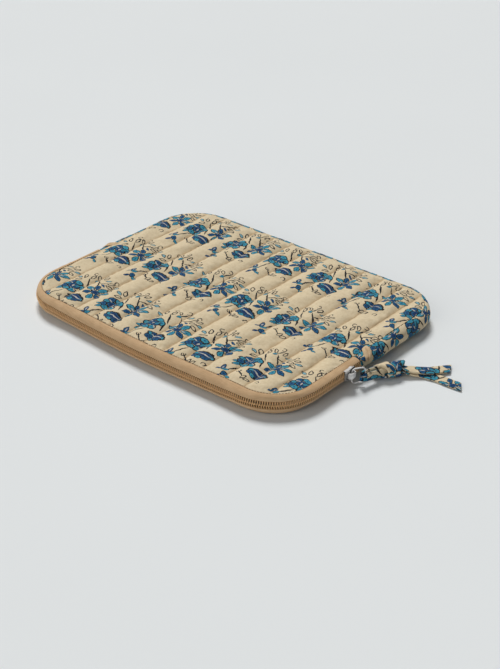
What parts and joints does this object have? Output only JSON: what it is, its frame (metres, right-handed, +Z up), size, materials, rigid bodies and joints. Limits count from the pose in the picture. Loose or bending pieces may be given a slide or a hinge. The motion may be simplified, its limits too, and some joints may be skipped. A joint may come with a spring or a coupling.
{
  "type": "laptop sleeve",
  "caption": "Quilted printed-cotton laptop sleeve with a wrap-round coil zip, a mouth flap that folds up, and a wire ring carrying a knotted fabric pull.",
  "frame": {"origin": "middle of the underside, on the flat that the ground presses into the middle channel", "axes": "+X along the long side towards the end where the zip closes, +Y towards the edge with no opening, +Z up"},
  "size_m": [0.4197, 0.2555, 0.022],
  "materials": {
    "printed_cotton": "plain-weave cotton, warm cream ground with a blue block-printed flower spray",
    "wadding": "soft off-white wadding, not seen",
    "lining": "plain cotton",
    "quilting_thread": "matt cotton thread",
    "binding": "plain tan cotton, cut on the bias",
    "binding_thread": "matt cotton thread",
    "zip_tape": "woven polyester tape",
    "zip_coil": "golden-brown nylon, slightly shiny",
    "zip_metal": "bright nickel plate with fine scratches"
  },
  "bodies": {
    "sleeve": {"lower_outer": "printed_cotton", "lower_wadding": "wadding", "lower_lining": "lining", "lower_quilting_thread": "quilting_thread", "upper_rear_outer": "printed_cotton", "upper_rear_wadding": "wadding", "upper_rear_lining": "lining", "upper_rear_quilting_thread": "quilting_thread", "wall_outer": "printed_cotton", "wall_wadding": "wadding", "wall_lining": "lining", "lower_binding": "binding", "lower_binding_thread": "binding_thread", "lower_zip_tape": "zip_tape", "lower_zip_coil": "zip_coil", "zip_end_tab_right": "binding", "zip_end_tab_left": "binding"},
    "flap": {"flap_outer": "printed_cotton", "flap_wadding": "wadding", "flap_lining": "lining", "flap_quilting_thread": "quilting_thread", "upper_binding": "binding", "upper_binding_thread": "binding_thread", "upper_zip_tape": "zip_tape", "upper_zip_coil": "zip_coil"},
    "slider": {"slider": "zip_metal"},
    "pull_ring": {"pull_ring": "zip_metal"},
    "pull_tie": {"tie_loop": "printed_cotton", "tie_knot": "printed_cotton", "tie_tail_long": "printed_cotton", "tie_tail_short": "printed_cotton"}
  },
  "joints": [
    {"name": "flap_fold", "type": "hinge", "parent": "sleeve", "child": "flap", "pos_m": [0, -0.018, 0.022], "axis": [-1, 0, 0], "range_deg": [0, 60]},
    {"name": "zip_slide", "type": "slide", "parent": "sleeve", "child": "slider", "axis": [0, -1, 0], "range_m": [0, 0.03]},
    {"name": "ring_swivel", "type": "hinge", "parent": "slider", "child": "pull_ring", "pos_m": [0.1729, -0.036, 0.009], "axis": [0, 0, 1], "range_deg": [-70, 5]},
    {"name": "tie_swivel", "type": "hinge", "parent": "pull_ring", "child": "pull_tie", "pos_m": [0.17952, -0.0254, 0.009], "axis": [0, 0, 1], "range_deg": [-70, 8]}
  ]
}
